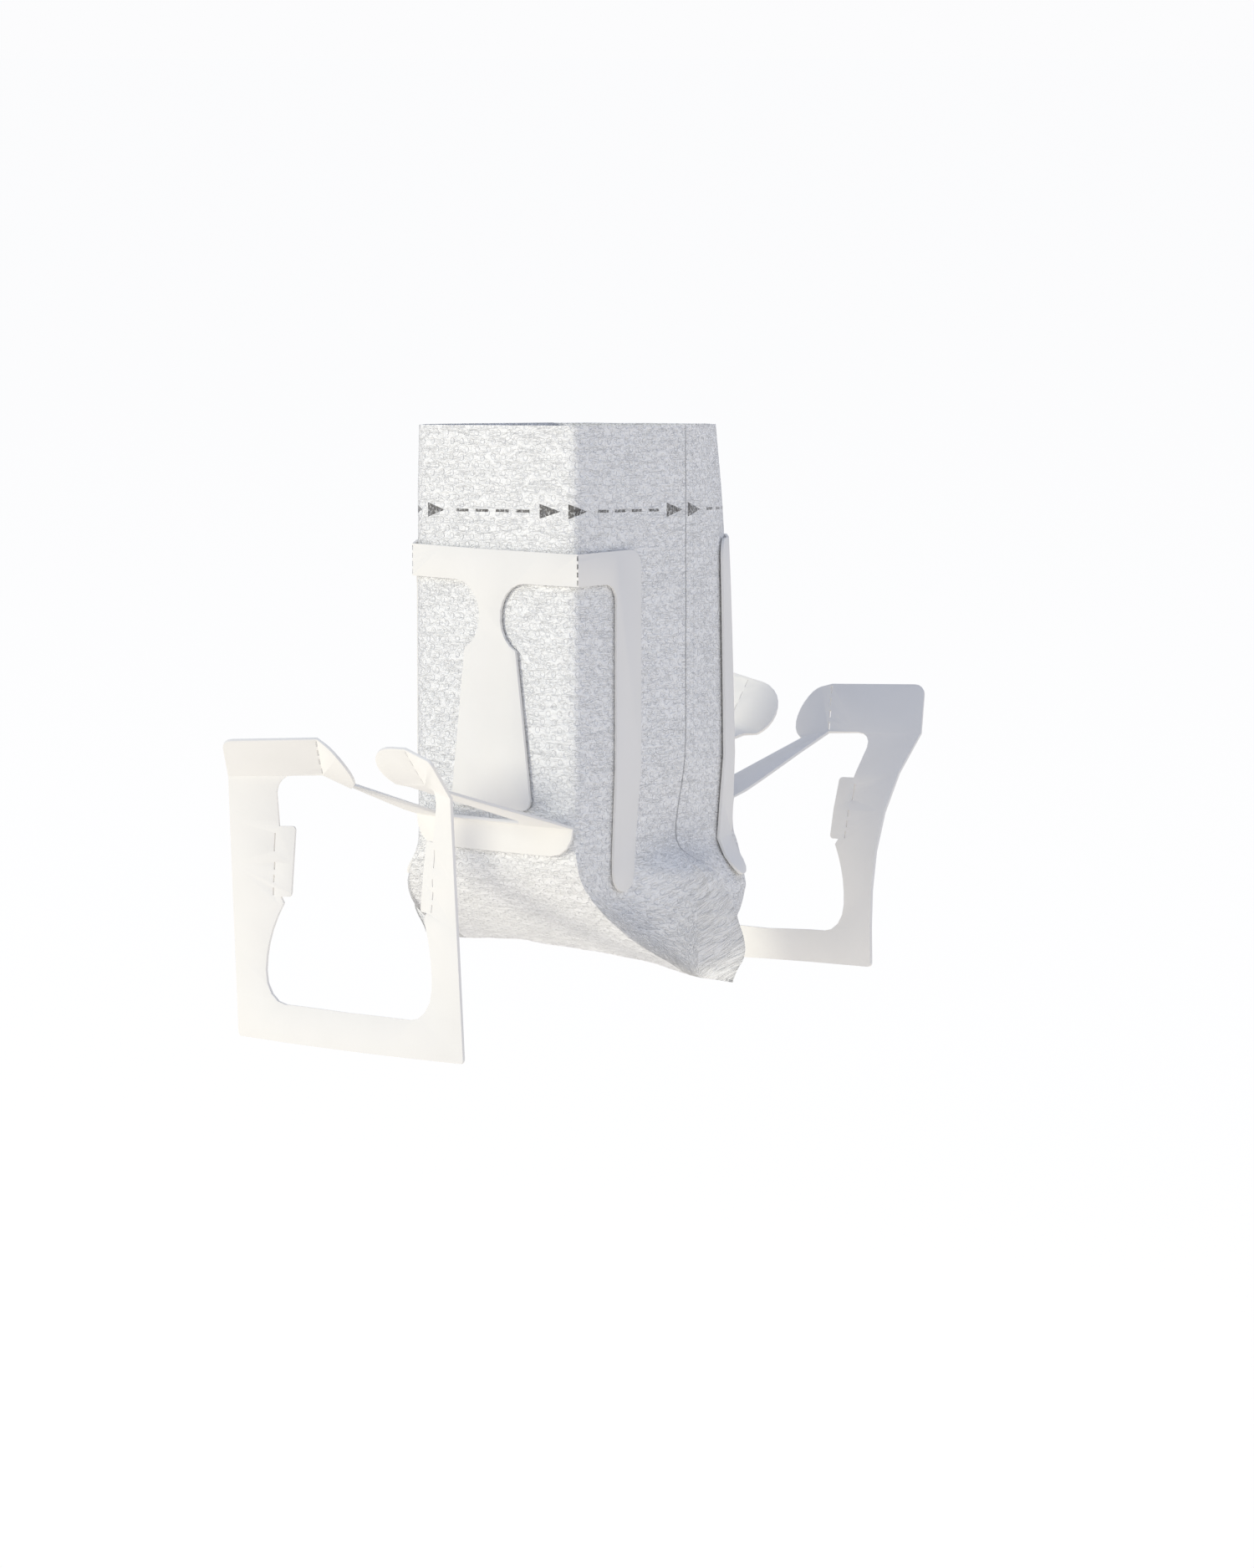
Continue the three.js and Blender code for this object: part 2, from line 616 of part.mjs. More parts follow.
const frontHang = {
  shift: frontEarShift,
  rise: frontRise,
  slope: frontSlope,
  droopLeft: frontDroopLeft,
  droopRight: frontDroopRight,
  barFall: frontBarFall,
  turnLeft: frontBarTurnLeft,
  turnRight: frontBarTurnRight,
  lean: frontLean,
  leanLeft: frontLeanLeft,
  leanRight: frontLeanRight,
  depth: frontHangDepth,
  out: frontHangOut,
  footSlope: 0,
  curl: frontHangCurl,
};
const rearHang = {
  shift: rearEarShift,
  rise: rearRise,
  slope: 0,
  droopLeft: rearDroop,
  droopRight: rearDroop,
  barFall: -rearBarRise,
  turnLeft: rearBarTurn,
  turnRight: rearBarTurn,
  lean: rearLean,
  leanLeft: rearLeanLeft,
  leanRight: 0,
  depth: rearHangDepth,
  out: rearHangOut,
  footSlope: rearHangSlope,
  curl: rearHangCurl,
};

function everyStep(axis, from, to) {
  const count = Math.ceil((to - from) / sheetStep);
  return Array.from({ length: count - 1 }, (_, step) => ({ axis, value: lerp(from, to, (step + 1) / count) }));
}

const foldAt = (axis, ...values) => values.map((value) => ({ axis, value }));

function makeFrame(side) {
  const armInner = frameHalf - armWidth;
  const sheet = flatSheet(frameOutline(), [
    ...foldAt("x", -armInner, -creaseHalf, creaseHalf, armInner),
    ...everyStep("x", -creaseHalf, creaseHalf),
    ...foldAt("y", slopeStart, slopeStart - dogEarShelf * lowerBag, ledge - frameCorner),
    ...everyStep("y", slopeStart, ledge - frameCorner),
  ]);
  sheet.bend = (point) => gluedPoint(side, point.x, point.y);
  const { positions, triangles } = weld([sheet]);
  return thicken(positions, triangles, cardThickness);
}

function makeEar(side, hang) {
  const { ringPoint, platePoint } = earShape(side, hang);
  const lobes = foldAt("x", -lobeFoldHalf, lobeFoldHalf);
  const ring = flatSheet(ringOutline(), [...lobes, ...foldAt("y", hingeLevel),
    ...everyStep("y", earFoot, hingeLevel), ...foldAt("x", 0)]);
  ring.bend = (point) => ringPoint(point.x, point.y);
  const plate = flatSheet(plateOutline(), [...lobes, ...foldAt("y", tongueFold), ...foldAt("x", 0)]);
  plate.bend = (point) => platePoint(point.x, point.y);
  const { positions, triangles } = weld([ring, plate]);
  return thicken(positions, triangles, cardThickness);
}

// Uncoated white card, and a thin white nonwoven that lets light through
const card = new THREE.MeshStandardMaterial({ color: 0xf4f2ea, roughness: 0.8, metalness: 0 });
const nonwoven = new THREE.MeshStandardMaterial({ color: 0xeceef2, roughness: 0.9, metalness: 0 });

function addPiece(parent, name, geometry, material) {
  const mesh = new THREE.Mesh(geometry, material.clone());
  mesh.name = name;
  parent.add(mesh);
}

const dripBag = new THREE.Group();
const front = sideOfBag(false);
const rear = sideOfBag(true);
addPiece(dripBag, "filter_bag", makeBag(), nonwoven);
addPiece(dripBag, "front_frame", makeFrame(front), card);
addPiece(dripBag, "front_ear", makeEar(front, frontHang), card);
addPiece(dripBag, "rear_frame", makeFrame(rear), card);
addPiece(dripBag, "rear_ear", makeEar(rear, rearHang), card);

export default dripBag;
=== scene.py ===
# %% [markdown]
# # A drip coffee bag
# A thin nonwoven tube is held open by two die-cut cards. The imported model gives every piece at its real
# size and place, so this script only dresses it: it never moves a part. Everything is in metres.

import math

import bmesh
import bpy
from mathutils import Matrix, Vector, noise


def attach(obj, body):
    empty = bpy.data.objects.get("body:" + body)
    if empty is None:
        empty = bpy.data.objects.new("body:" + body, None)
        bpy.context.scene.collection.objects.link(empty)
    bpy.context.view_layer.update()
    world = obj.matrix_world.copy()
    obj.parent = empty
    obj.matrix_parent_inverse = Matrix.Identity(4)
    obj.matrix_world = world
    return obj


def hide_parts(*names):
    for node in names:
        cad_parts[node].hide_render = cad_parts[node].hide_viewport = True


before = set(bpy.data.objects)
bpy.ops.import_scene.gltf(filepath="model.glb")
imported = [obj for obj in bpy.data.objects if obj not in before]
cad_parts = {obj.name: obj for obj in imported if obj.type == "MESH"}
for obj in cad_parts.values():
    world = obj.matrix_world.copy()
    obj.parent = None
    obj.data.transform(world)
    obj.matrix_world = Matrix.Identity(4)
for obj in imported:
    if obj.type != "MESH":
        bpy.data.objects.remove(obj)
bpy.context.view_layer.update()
MM = 0.001


# %% [markdown]
# ## Camera
# The photograph was taken from a little above, far away through a long lens, so upright edges stay upright.
# The camera is placed by the angle and the distance at which the bag was seen, and is aimed beside the
# bag's axis, because the bag doesn't stand in the middle of the picture.

# %% Camera
VIEW_AZIMUTH = math.radians(48)
VIEW_RISE = math.radians(4.8)
VIEW_DISTANCE = 1380 * MM
AIM_RIGHT = 7.26 * MM
AIM_UP = -3.33 * MM
LENS = 218.9
SENSOR_HEIGHT = 36


def add_camera():
    camera = bpy.data.objects.new("camera", bpy.data.cameras.new("camera"))
    bpy.context.scene.collection.objects.link(camera)
    towards_camera = Vector((math.sin(VIEW_AZIMUTH) * math.cos(VIEW_RISE),
                             -math.cos(VIEW_AZIMUTH) * math.cos(VIEW_RISE), math.sin(VIEW_RISE)))
    right = Vector((math.cos(VIEW_AZIMUTH), math.sin(VIEW_AZIMUTH), 0))
    up = towards_camera.cross(right)
    camera.location = towards_camera * VIEW_DISTANCE
    aim = right * AIM_RIGHT + up * AIM_UP
    camera.rotation_euler = (aim - camera.location).to_track_quat("-Z", "Y").to_euler()
    camera.data.sensor_fit = "VERTICAL"
    camera.data.sensor_height = SENSOR_HEIGHT
    camera.data.lens = LENS
    camera.data.clip_start = 0.05
    camera.data.clip_end = 20
    bpy.context.scene.camera = camera
    return camera


camera = add_camera()
print("camera at", [round(value, 3) for value in camera.location])

# %% [markdown]
# ## Colours and nodes
# Colours are written as sRGB hex values, as a paint card gives them, and one function turns them to the
# linear values that a shader works in. One small function adds a node, sets it and links it.

# %% Helpers for materials
def srgb(code):
    """Linear RGBA of an sRGB hex colour."""
    channels = [int(code[start:start + 2], 16) / 255 for start in (1, 3, 5)]
    return (*[c / 12.92 if c <= 0.04045 else ((c + 0.055) / 1.055) ** 2.4 for c in channels], 1)


def add_node(tree, kind, settings=None, **inputs):
    """Adds a node. Settings are its own properties, and inputs are its sockets' values or links."""
    node = tree.nodes.new(kind)
    for name, value in (settings or {}).items():
        setattr(node, name, value)
    for name, value in inputs.items():
        key = int(name[1:]) if name[1:].isdigit() and name[0] == "i" else name.replace("_", " ")
        socket = node.inputs[key]
        if isinstance(value, bpy.types.NodeSocket):
            tree.links.new(value, socket)
        else:
            socket.default_value = value
    return node


def new_material(name):
    material = bpy.data.materials.new(name)
    material.use_nodes = True
    return material, material.node_tree, material.node_tree.nodes["Principled BSDF"]


def math_node(tree, operation, first, second=0.0, third=0.0):
    return add_node(tree, "ShaderNodeMath", {"operation": operation}, i0=first, i1=second, i2=third).outputs[0]


# %% [markdown]
# ## Floor, backdrop and light
# The bag hangs high above a white table, against a white wall. White comes from the colour of the floor
# and the world as the camera sees them, and never from more light on the paper. A low, warm, soft lamp
# from the camera's left lights the front panel, and a cool even world fills the side that faces away.

# %% Floor and backdrop
FLOOR_LEVEL = -90 * MM
FLOOR_SIZE = 60.0
FLOOR_GLOW = 0.815
FLOOR_GLOW_COLOR = "#FFFDF8"
FLOOR_SHADE = "#A2A2A2"
TABLE_LIGHT = "#FFFCFA"
TABLE_STRENGTH = 0.9
BACKDROP = "#FCFCFD"


def add_floor():
    bm = bmesh.new()
    bmesh.ops.create_grid(bm, x_segments=1, y_segments=1, size=FLOOR_SIZE / 2)
    bmesh.ops.translate(bm, verts=bm.verts, vec=(0, 0, FLOOR_LEVEL))
    mesh = bpy.data.meshes.new("floor")
    bm.to_mesh(mesh)
    bm.free()
    floor = bpy.data.objects.new("floor", mesh)
    bpy.context.scene.collection.objects.link(floor)
    material, tree, shader = new_material("white table")
    bounce = add_node(tree, "ShaderNodeEmission", None, Color=srgb(TABLE_LIGHT), Strength=TABLE_STRENGTH)
    glow = add_node(tree, "ShaderNodeEmission", None, Color=srgb(FLOOR_GLOW_COLOR), Strength=FLOOR_GLOW)
    matt = add_node(tree, "ShaderNodeBsdfDiffuse", None, Color=srgb(FLOOR_SHADE))
    seen = add_node(tree, "ShaderNodeAddShader", None, i0=glow.outputs[0], i1=matt.outputs[0])
    path = add_node(tree, "ShaderNodeLightPath")
    mix = add_node(tree, "ShaderNodeMixShader", None, i0=path.outputs["Is Camera Ray"],
                   i1=bounce.outputs[0], i2=seen.outputs[0])
    tree.links.new(mix.outputs[0], tree.nodes["Material Output"].inputs["Surface"])
    tree.nodes.remove(shader)
    mesh.materials.append(material)
    return floor


add_floor()

# %% World and lamps
AMBIENT = "#AAB2C6"
AMBIENT_STRENGTH = 1.06
KEY_AZIMUTH = math.radians(-24)
KEY_RISE = math.radians(12)
KEY_DISTANCE = 2.4
KEY_SIZE = 0.5
KEY_POWER = 23


def light_world():
    world = bpy.data.worlds.new("pale studio")
    world.use_nodes = True
    bpy.context.scene.world = world
    tree = world.node_tree
    output = tree.nodes["World Output"]
    fill = tree.nodes["Background"]
    fill.inputs["Color"].default_value = srgb(AMBIENT)
    fill.inputs["Strength"].default_value = AMBIENT_STRENGTH
    wall = add_node(tree, "ShaderNodeBackground", None, Color=srgb(BACKDROP), Strength=1.0)
    path = add_node(tree, "ShaderNodeLightPath")
    seen = math_node(tree, "MAXIMUM", path.outputs["Is Camera Ray"], path.outputs["Is Glossy Ray"])
    seen = math_node(tree, "MAXIMUM", seen, path.outputs["Is Transmission Ray"])
    mix = add_node(tree, "ShaderNodeMixShader", None, i0=seen, i1=fill.outputs[0], i2=wall.outputs[0])
    tree.links.new(mix.outputs[0], output.inputs["Surface"])


def add_lamp(name, azimuth, rise, distance, size, power, color):
    lamp = bpy.data.objects.new(name, bpy.data.lights.new(name, "AREA"))
    bpy.context.scene.collection.objects.link(lamp)
    place = Vector((math.sin(azimuth) * math.cos(rise), -math.cos(azimuth) * math.cos(rise), math.sin(rise)))
    lamp.location = place * distance
    lamp.rotation_euler = (-place).to_track_quat("-Z", "Y").to_euler()
    lamp.data.shape = "SQUARE"
    lamp.data.size = size
    lamp.data.energy = power
    lamp.data.color = srgb(color)[:3]
    return lamp


light_world()
add_lamp("key", KEY_AZIMUTH, KEY_RISE, KEY_DISTANCE, KEY_SIZE, KEY_POWER, "#FFFBE8")

# %% [markdown]
# ## Card
# The ears and frames are die cut from bleached, uncoated card of about 0.4 mm. It is matt and almost
# white, with a faint cloudiness from the pulp and a fine tooth on the surface that softens every highlight.

# %% Card material
def make_card():
    material, tree, shader = new_material("bleached uncoated card")
    place = add_node(tree, "ShaderNodeTexCoord").outputs["Object"]
    cloud = add_node(tree, "ShaderNodeTexNoise", None, Vector=place, Scale=1 / (9 * MM), Detail=3.0)
    tooth = add_node(tree, "ShaderNodeTexNoise", None, Vector=place, Scale=1 / (0.35 * MM), Detail=4.0)
    tint = add_node(tree, "ShaderNodeMix", {"data_type": "RGBA"}, i0=cloud.outputs["Fac"],
                    A=(0, 0, 0, 1))
    tint.inputs[6].default_value = srgb("#F2F0EB")
    tint.inputs[7].default_value = srgb("#F9F7F3")
    tree.links.new(tint.outputs[2], shader.inputs["Base Color"])
    shader.inputs["Roughness"].default_value = 0.78
    shader.inputs["Specular IOR Level"].default_value = 0.25
    bump = add_node(tree, "ShaderNodeBump", None, Strength=0.35, Distance=0.03 * MM,
                    Height=tooth.outputs["Fac"])
    tree.links.new(bump.outputs[0], shader.inputs["Normal"])
    return material


card = make_card()

# %% [markdown]
# ## Nonwoven
# The bag is a very thin web of bonded fibres. Light comes through it, so its shaded sides stay pale. Long
# fibres lie in it in every direction, and a roll with small pins has embossed it with rows of bond points.
# The pattern follows the web, so it reads the piece's own flat UV map, which is in millimetres.

# %% Nonwoven material
BOND_PITCH = 1.6
BOND_HALF = 0.42
PRINT_DROP = 12.1
PRINT_PERIOD = 30.0
PRINT_START = 25.0
HEAD_LENGTH = 4.1
HEAD_HALF = 1.05
HEAD_STEP = 5.6
DASH_START = 12.4
DASH_PITCH = 4.3
DASH_LENGTH = 2.7
DASH_HALF = 0.2
SEAM_SPACING = 90.0
SEAM_BAND = 2.2
SEAM_LINE = 0.16


def fibre_layer(tree, flat, angle, stretch, width, seed):
    """Thin bright lines that run along one direction, as long fibres do: ridges of a stretched noise."""
    turned = add_node(tree, "ShaderNodeMapping", None, Vector=flat, Location=(seed, seed * 0.7, 0),
                      Rotation=(0, 0, math.radians(angle)), Scale=(stretch, 1, 1))
    wave = add_node(tree, "ShaderNodeTexNoise", {"noise_dimensions": "2D"}, Vector=turned.outputs[0],
                    Scale=1 / width, Detail=1.5, Distortion=0.9)
    from_ridge = math_node(tree, "ABSOLUTE", math_node(tree, "SUBTRACT", wave.outputs["Fac"], 0.5))
    return add_node(tree, "ShaderNodeMapRange", {"interpolation_type": "SMOOTHSTEP"}, Value=from_ridge,
                    From_Min=0.055, From_Max=0.0).outputs[0]


def row_print(tree, flat):
    """Where the printed row has ink: a pair of arrowheads and four short dashes, again and again."""
    place = add_node(tree, "ShaderNodeSeparateXYZ", None, Vector=flat)
    across = math_node(tree, "ABSOLUTE", math_node(tree, "ADD", place.outputs["Y"], PRINT_DROP))
    along = math_node(tree, "FLOORED_MODULO", math_node(tree, "SUBTRACT", place.outputs["X"], PRINT_START),
                      PRINT_PERIOD)
    inked = None
    for start in (0, HEAD_STEP):
        to_tip = math_node(tree, "SUBTRACT", start + HEAD_LENGTH, along)
        half = math_node(tree, "MULTIPLY", to_tip, HEAD_HALF / HEAD_LENGTH)
        inside = math_node(tree, "LESS_THAN", across, half)
        begun = math_node(tree, "GREATER_THAN", along, start)
        head = math_node(tree, "MULTIPLY", inside, begun)
        inked = head if inked is None else math_node(tree, "MAXIMUM", inked, head)
    after = math_node(tree, "SUBTRACT", along, DASH_START)
    step = math_node(tree, "FLOORED_MODULO", after, DASH_PITCH)
    dash = math_node(tree, "MULTIPLY", math_node(tree, "LESS_THAN", step, DASH_LENGTH),
                     math_node(tree, "LESS_THAN", across, DASH_HALF))
    dash = math_node(tree, "MULTIPLY", dash, math_node(tree, "GREATER_THAN", after, 0))
    dash = math_node(tree, "MULTIPLY", dash, math_node(tree, "LESS_THAN", after, 4 * DASH_PITCH))
    return math_node(tree, "MAXIMUM", inked, dash)


def make_nonwoven(name, printed):
    material, tree, shader = new_material(name)
    flat = add_node(tree, "ShaderNodeUVMap", {"uv_map": "flat"}).outputs[0]
    turned = add_node(tree, "ShaderNodeMapping", None, Vector=flat, Rotation=(0, 0, math.radians(45)))
    bond = add_node(tree, "ShaderNodeTexVoronoi", {"voronoi_dimensions": "2D"}, Vector=turned.outputs[0],
                    Scale=1 / BOND_PITCH, Randomness=0.12)
    dots = add_node(tree, "ShaderNodeMapRange", {"interpolation_type": "SMOOTHSTEP"},
                    Value=bond.outputs["Distance"], From_Min=BOND_HALF / BOND_PITCH + 0.07,
                    From_Max=BOND_HALF / BOND_PITCH - 0.07).outputs[0]
    fibres = None
    for angle, stretch, width, seed in ((8, 0.3, 1.1, 3), (-38, 0.28, 1.2, 17), (58, 0.3, 1.3, 41), (-12, 0.25, 1.0, 77)):
        layer = fibre_layer(tree, flat, angle, stretch, width, seed)
        fibres = layer if fibres is None else math_node(tree, "MAXIMUM", fibres, layer)
    clump = add_node(tree, "ShaderNodeTexNoise", {"noise_dimensions": "2D"}, Vector=flat, Scale=1 / 2.6,
                     Detail=4.0).outputs["Fac"]
    fuzz = add_node(tree, "ShaderNodeTexNoise", {"noise_dimensions": "2D"}, Vector=flat, Scale=1 / 0.45,
                    Detail=3.0).outputs["Fac"]
    height = math_node(tree, "MULTIPLY_ADD", fibres, 0.5, clump)
    height = math_node(tree, "MULTIPLY_ADD", fuzz, 0.5, height)
    height = math_node(tree, "MULTIPLY_ADD", dots, -0.9, height)
    # How pale the web is: lighter where fibres and fuzz lie thick, which is its own tone, and lighter on the bond
    # points, which is a painted glint of their fused film.
    fibre_tone_and_dot_glint = math_node(tree, "MULTIPLY_ADD", fibres, 0.45, math_node(tree, "MULTIPLY", fuzz, 0.7))
    fibre_tone_and_dot_glint = math_node(tree, "MULTIPLY_ADD", dots, 0.6, fibre_tone_and_dot_glint)
    across = add_node(tree, "ShaderNodeSeparateXYZ", None, Vector=flat).outputs["X"]
    from_seam = math_node(tree, "PINGPONG", across, SEAM_SPACING / 2)
    band = add_node(tree, "ShaderNodeMapRange", {"interpolation_type": "SMOOTHSTEP"}, Value=from_seam,
                    From_Min=SEAM_BAND + 0.15, From_Max=SEAM_BAND - 0.15).outputs[0]
    line = math_node(tree, "LESS_THAN", from_seam, SEAM_LINE)
    height = math_node(tree, "MULTIPLY_ADD", band, 0.8, height)
    height = math_node(tree, "MULTIPLY_ADD", line, -3.0, height)
    # The web's colour: the fibres' own tone, with the painted glint of the bond points.
    color = add_node(tree, "ShaderNodeMix", {"data_type": "RGBA"}, i0=fibre_tone_and_dot_glint)
    color.inputs[6].default_value = srgb("#F8F7F4")
    color.inputs[7].default_value = srgb("#FFFFFD")
    seamed = add_node(tree, "ShaderNodeMix", {"data_type": "RGBA"}, i0=line, i6=color.outputs[2])
    seamed.inputs[7].default_value = srgb("#B4B4B4")
    shown = seamed.outputs[2]
    if printed:
        worn = add_node(tree, "ShaderNodeMapRange", None, Value=fuzz, From_Min=0.66, From_Max=0.52,
                        To_Min=0.45, To_Max=0.95)
        ink = math_node(tree, "MULTIPLY", row_print(tree, flat), worn.outputs[0])
        inked = add_node(tree, "ShaderNodeMix", {"data_type": "RGBA"}, i0=ink, i6=shown)
        inked.inputs[7].default_value = srgb("#2B2724")
        shown = inked.outputs[2]
    tree.links.new(shown, shader.inputs["Base Color"])
    shader.inputs["Roughness"].default_value = 0.55
    shader.inputs["Specular IOR Level"].default_value = 1.0
    shader.inputs["Subsurface Weight"].default_value = 0.3
    shader.inputs["Subsurface Radius"].default_value = (1, 1, 1)
    shader.inputs["Subsurface Scale"].default_value = 0.12 * MM
    shader.inputs["Sheen Weight"].default_value = 1.0
    shader.inputs["Sheen Roughness"].default_value = 0.4
    bump = add_node(tree, "ShaderNodeBump", None, Strength=0.85, Distance=0.18 * MM, Height=height)
    tree.links.new(bump.outputs[0], shader.inputs["Normal"])
    return material


nonwoven = make_nonwoven("embossed nonwoven", True)
nonwoven_inside = make_nonwoven("embossed nonwoven inside", False)

# %% [markdown]
# ## Filter bag
# The tube is cut from a flat web, so it starts as a flat grid whose own coordinates become its UV map.
# The grid's columns and rows are then laid on the model's rows of points, so the piece has the model's
# form, its subdivision rounds everything but the folds, and a fine noise crumples the part that hangs free.

# %% Rows of the model's outer skin
RIM_LEVEL = 45 * MM
SEAM_DIRECTION = math.radians(-175.4)


def walk_round(row):
    """The row's points in order, anticlockwise from above, starting at the left side seam."""
    def from_seam(vert):
        turn = math.atan2(vert.co.y, vert.co.x) - SEAM_DIRECTION
        return abs(math.remainder(turn, math.tau))

    ordered = [min(row, key=from_seam)]
    while len(ordered) < len(row):
        on_side = [edge for edge in ordered[-1].link_edges
                   if any(vert not in row for face in edge.link_faces for vert in face.verts)]
        beside = [edge.other_vert(ordered[-1]) for edge in on_side]
        ordered.append(next(vert for vert in beside if vert in row and vert not in ordered))
    pairs = zip(ordered, ordered[1:] + ordered[:1])
    if sum(a.co.x * b.co.y - b.co.x * a.co.y for a, b in pairs) < 0:
        ordered = ordered[:1] + ordered[:0:-1]
    return [vert.co.copy() for vert in ordered]


def outer_rows(node):
    """The outer skin's points, row by row from the mouth down."""
    bm = bmesh.new()
    bm.from_mesh(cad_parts[node].data)
    bmesh.ops.remove_doubles(bm, verts=bm.verts, dist=0.001 * MM)
    bm.normal_update()
    rim = [face for face in bm.faces if face.normal.z > 0.7 and face.calc_center_median().z > RIM_LEVEL]
    bmesh.ops.delete(bm, geom=rim, context="FACES")
    mouth = [vert for vert in bm.verts if vert.is_boundary and vert.co.z > RIM_LEVEL]
    row = [max(mouth, key=lambda vert: vert.co.xy.length)]
    for vert in row:
        row.extend({edge.other_vert(vert) for edge in vert.link_edges if edge.is_boundary} - set(row))
    rows = []
    seen = set()
    while row:
        rows.append(walk_round(set(row)))
        seen.update(row)
        row = list({edge.other_vert(vert) for vert in row for edge in vert.link_edges} - seen)
    bm.free()
    return rows


rows = outer_rows("filter_bag")
print("rows", len(rows), {len(row) for row in rows})

# %% [markdown]
# The two panels meet at the bottom in one sealed line. Each point of the front half has its partner in
# the rear half, so one more row, halfway between the partners, closes the tube.

# %% Closed web
SEAL_DROP = 0.35 * MM
PANEL_FOLDS = (9, 17, 35, 43)
SIDE_FOLDS = (0, 26)
DOG_EAR_FOLDS = (1, 25, 27, 51)
FIRST_FREE_ROW = 10
PRESSED_COLUMNS = (2, 3, 23, 24, 28, 29, 49, 50)
PRESS_DEPTH = 1.0 * MM
FOOT_TURN = math.radians(4.6)

rows.append([(rows[-1][i] + rows[-1][-i % len(rows[-1])]) / 2 - Vector((0, 0, SEAL_DROP))
             for i in range(len(rows[-1]))])


def press_dog_ears(rows):
    """Presses the web in beside each dog-ear's fold, so that the fold stands out as a ridge."""
    for number, row in enumerate(rows[FIRST_FREE_ROW + 2:-2]):
        share = math.sin(math.pi * (number + 1) / (len(rows) - FIRST_FREE_ROW - 3))
        middle = sum(row, Vector()) / len(row)
        for column in PRESSED_COLUMNS:
            away = (row[column] - middle)
            flat_away = Vector((-math.sin(FOOT_TURN), math.cos(FOOT_TURN), 0))
            side = 1 if away.dot(flat_away) > 0 else -1
            row[column] -= flat_away * side * min(PRESS_DEPTH * share, 0.5 * abs(away.dot(flat_away)))


press_dog_ears(rows)


def running_length(points):
    lengths = [0.0]
    for before, after in zip(points, points[1:]):
        lengths.append(lengths[-1] + (after - before).length / MM)
    return lengths


def new_object(name, bm):
    mesh = bpy.data.meshes.new(name)
    bm.to_mesh(mesh)
    bm.free()
    piece = bpy.data.objects.new(name, mesh)
    bpy.context.scene.collection.objects.link(piece)
    return piece


def lay_web(name, rows):
    """A flat grid laid on the rows, with its flat place in millimetres as its UV map and its folds creased."""
    columns = len(rows[0])
    around = running_length(rows[0] + rows[0][:1])
    down = [running_length([row[column] for row in rows]) for column in range(columns)]
    bm = bmesh.new()
    bmesh.ops.create_grid(bm, x_segments=columns, y_segments=len(rows) - 1, size=1)
    flat = bm.loops.layers.uv.new("flat")
    crease = bm.edges.layers.float.new("crease_edge")
    place = {vert: (round((vert.co.x + 1) / 2 * columns), round((1 - vert.co.y) / 2 * (len(rows) - 1)))
             for vert in bm.verts}
    for face in bm.faces:
        face.smooth = True
        for loop in face.loops:
            column, row = place[loop.vert]
            loop[flat].uv = (around[column], -down[column % columns][row])
    for edge in bm.edges:
        (column, row), (other_column, other_row) = (place[vert] for vert in edge.verts)
        upright = column == other_column
        if upright and column % columns in PANEL_FOLDS:
            edge[crease] = 0.6 if row > FIRST_FREE_ROW else 0.0
        elif upright and column % columns in SIDE_FOLDS:
            edge[crease] = 1
        elif upright and column in DOG_EAR_FOLDS and max(row, other_row) > FIRST_FREE_ROW:
            edge[crease] = 0.9
        elif not upright and row == len(rows) - 1:
            edge[crease] = 1
    for vert, (column, row) in place.items():
        vert.co = rows[row][column % columns]
    bmesh.ops.remove_doubles(bm, verts=bm.verts, dist=0.001 * MM)
    bmesh.ops.dissolve_degenerate(bm, edges=bm.edges, dist=0.0001 * MM)
    print(name, "girth", round(around[-1], 1), "mm, depth", round(down[13][-1], 1), "mm,", len(bm.faces), "faces")
    return new_object(name, bm)


def apply_modifier(piece, kind, **settings):
    modifier = piece.modifiers.new(kind.lower(), kind)
    for name, value in settings.items():
        setattr(modifier, name, value)
    with bpy.context.temp_override(object=piece, active_object=piece, selected_objects=[piece]):
        bpy.ops.object.modifier_apply(modifier=modifier.name)


bag = lay_web("nonwoven_bag", rows)
apply_modifier(bag, "SUBSURF", levels=2, render_levels=2)

# %% [markdown]
# Above the foot the web is let out a little and crumpled back in by a similar small amount, and the crumple is
# larger on the free slopes and at the mouth's thin cut edge.

# %% Crumple and wall
WALL = 0.25 * MM
CRUMPLE_UP = 0.08 * MM
LIFT = 0.10 * MM
CRUMPLE_FOOT = 0.22 * MM
CRUMPLE_MOUTH = 0.35 * MM


def crumple(piece):
    mesh = piece.data
    normals = [vert.normal.copy() for vert in mesh.vertices]
    for vert, normal in zip(mesh.vertices, normals):
        height = vert.co.z / MM
        low = min(max((-12 - height) / 4, 0), 1)
        high = min(max((height - 40) / 8, 0), 1)
        wave = noise.noise(vert.co / (7 * MM)) + 0.5 * noise.noise(vert.co / (2.6 * MM))
        lines = Vector((vert.co.x / (9 * MM), vert.co.y / (2.2 * MM), vert.co.z / (2.2 * MM)))
        ridge = 0.5 - abs(noise.noise(lines))
        ripple = noise.noise(Vector((vert.co.x, vert.co.y, 0)) / (6 * MM))
        move = (LIFT * (1 - high) - CRUMPLE_UP * (0.5 + 0.5 * wave)) * (1 - low)
        move += CRUMPLE_FOOT * low * (0.6 * wave + ridge - 0.5)
        move += CRUMPLE_MOUTH * high * ripple
        vert.co += normal * move


def thin_at_foot(piece):
    """A vertex group that thins the wall where the folds lie tightly on each other."""
    group = piece.vertex_groups.new(name="wall")
    for vert in piece.data.vertices:
        low = min(max((-12 - vert.co.z / MM) / 8, 0), 1)
        group.add([vert.index], 1 - low, "REPLACE")


